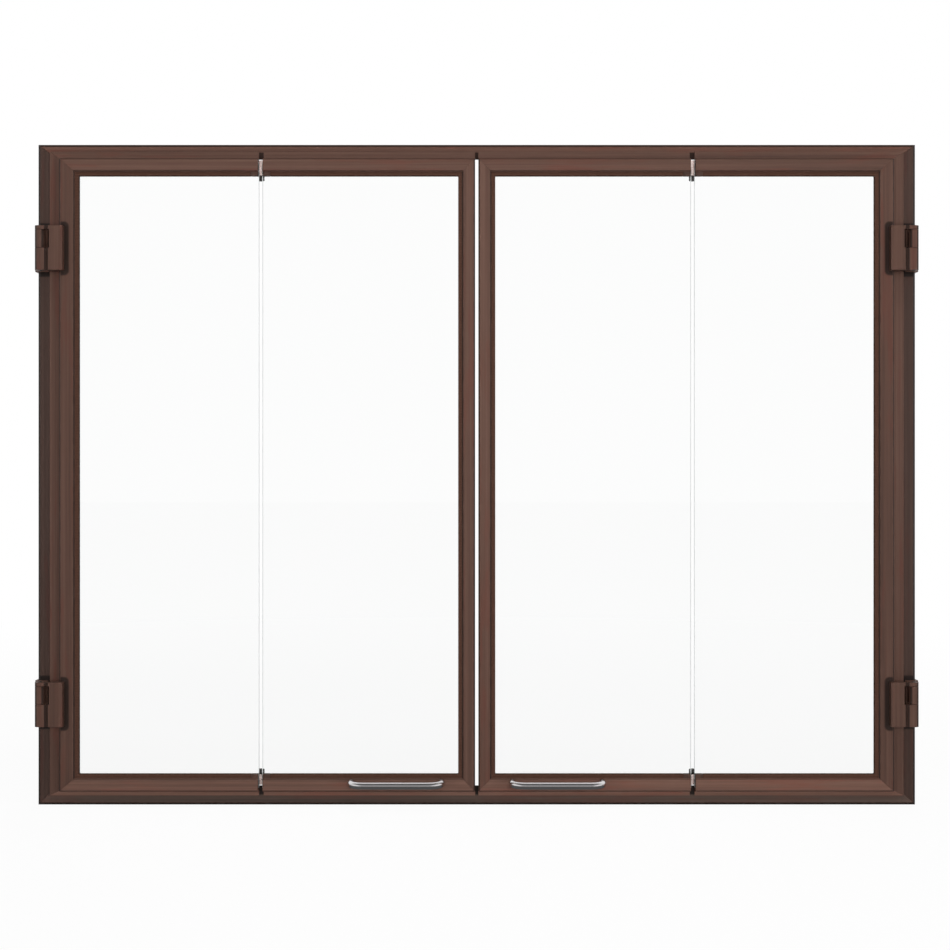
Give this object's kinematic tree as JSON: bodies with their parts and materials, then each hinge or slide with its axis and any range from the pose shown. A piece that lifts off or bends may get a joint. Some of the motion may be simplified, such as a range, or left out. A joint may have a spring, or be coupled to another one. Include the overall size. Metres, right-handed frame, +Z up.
{
  "type": "fireplace glass door",
  "caption": "Bi-fold glass door in a bronze steel frame for a fireplace opening, with exposed side hinges and arched pull handles.",
  "frame": {"origin": "middle of the sill's underside, half way through the frame's depth", "axes": "+X to the viewer's right, +Y into the firebox, +Z up; the leaves are on the -Y side"},
  "size_m": [0.919, 0.0965, 0.688],
  "materials": {
    "bronze": "oil-rubbed bronze, brushed along each length",
    "hinge_bronze": "oil-rubbed bronze",
    "glass": "clear tempered",
    "gasket": "black woven glass-fibre tape",
    "bumper": "matt silicone",
    "dark_steel": "blackened steel",
    "zinc": "bright zinc plate",
    "catch": "black powder coat",
    "magnet": "ground ferrite",
    "satin_nickel": "satin nickel"
  },
  "bodies": {
    "frame": {"header": "bronze", "sill": "bronze", "jamb_left": "bronze", "jamb_right": "bronze", "mounting_clips": "zinc", "mounting_clip_screws": "zinc", "hinge_straps_left": "hinge_bronze", "hinge_straps_right": "hinge_bronze", "hinge_strap_screws": "dark_steel", "catch_brackets": "catch", "catch_magnets": "magnet", "catch_screws": "zinc", "bumpers": "bumper"},
    "left_outer": {"left_outer_stile": "bronze", "left_outer_top_rail": "bronze", "left_outer_bottom_rail": "bronze", "left_outer_glass": "glass", "left_outer_gasket": "gasket", "left_outer_end_clips": "dark_steel", "left_hinge_blocks": "hinge_bronze", "left_hinge_pins": "dark_steel", "left_outer_fold_plates": "zinc", "left_fold_pins": "dark_steel", "left_outer_fold_screws": "zinc"},
    "left_inner": {"left_inner_stile": "bronze", "left_inner_top_rail": "bronze", "left_inner_bottom_rail": "bronze", "left_inner_glass": "glass", "left_inner_gasket": "gasket", "left_inner_end_clips": "dark_steel", "left_inner_fold_plates": "zinc", "left_inner_fold_screws": "zinc", "left_strike": "zinc", "left_handle": "satin_nickel", "left_handle_screws": "zinc"},
    "right_outer": {"right_outer_stile": "bronze", "right_outer_top_rail": "bronze", "right_outer_bottom_rail": "bronze", "right_outer_glass": "glass", "right_outer_gasket": "gasket", "right_outer_end_clips": "dark_steel", "right_hinge_blocks": "hinge_bronze", "right_hinge_pins": "dark_steel", "right_outer_fold_plates": "zinc", "right_fold_pins": "dark_steel", "right_outer_fold_screws": "zinc"},
    "right_inner": {"right_inner_stile": "bronze", "right_inner_top_rail": "bronze", "right_inner_bottom_rail": "bronze", "right_inner_glass": "glass", "right_inner_gasket": "gasket", "right_inner_end_clips": "dark_steel", "right_inner_fold_plates": "zinc", "right_inner_fold_screws": "zinc", "right_strike": "zinc", "right_handle": "satin_nickel", "right_handle_screws": "zinc"}
  },
  "joints": [
    {"name": "left_hinge", "type": "hinge", "parent": "frame", "child": "left_outer", "pos_m": [-0.451, -0.029, 0.344], "axis": [0, 0, -1], "range_deg": [0, 85]},
    {"name": "left_fold", "type": "hinge", "parent": "left_outer", "child": "left_inner", "pos_m": [-0.224, -0.011, 0.344], "axis": [0, 0, 1], "range_deg": [0, 170]},
    {"name": "right_hinge", "type": "hinge", "parent": "frame", "child": "right_outer", "pos_m": [0.451, -0.029, 0.344], "axis": [0, 0, 1], "range_deg": [0, 85]},
    {"name": "right_fold", "type": "hinge", "parent": "right_outer", "child": "right_inner", "pos_m": [0.224, -0.011, 0.344], "axis": [0, 0, -1], "range_deg": [0, 170]}
  ],
  "couplings": [
    {"joint": "left_fold", "follows": "left_hinge", "ratio": 2},
    {"joint": "right_fold", "follows": "right_hinge", "ratio": 2}
  ]
}
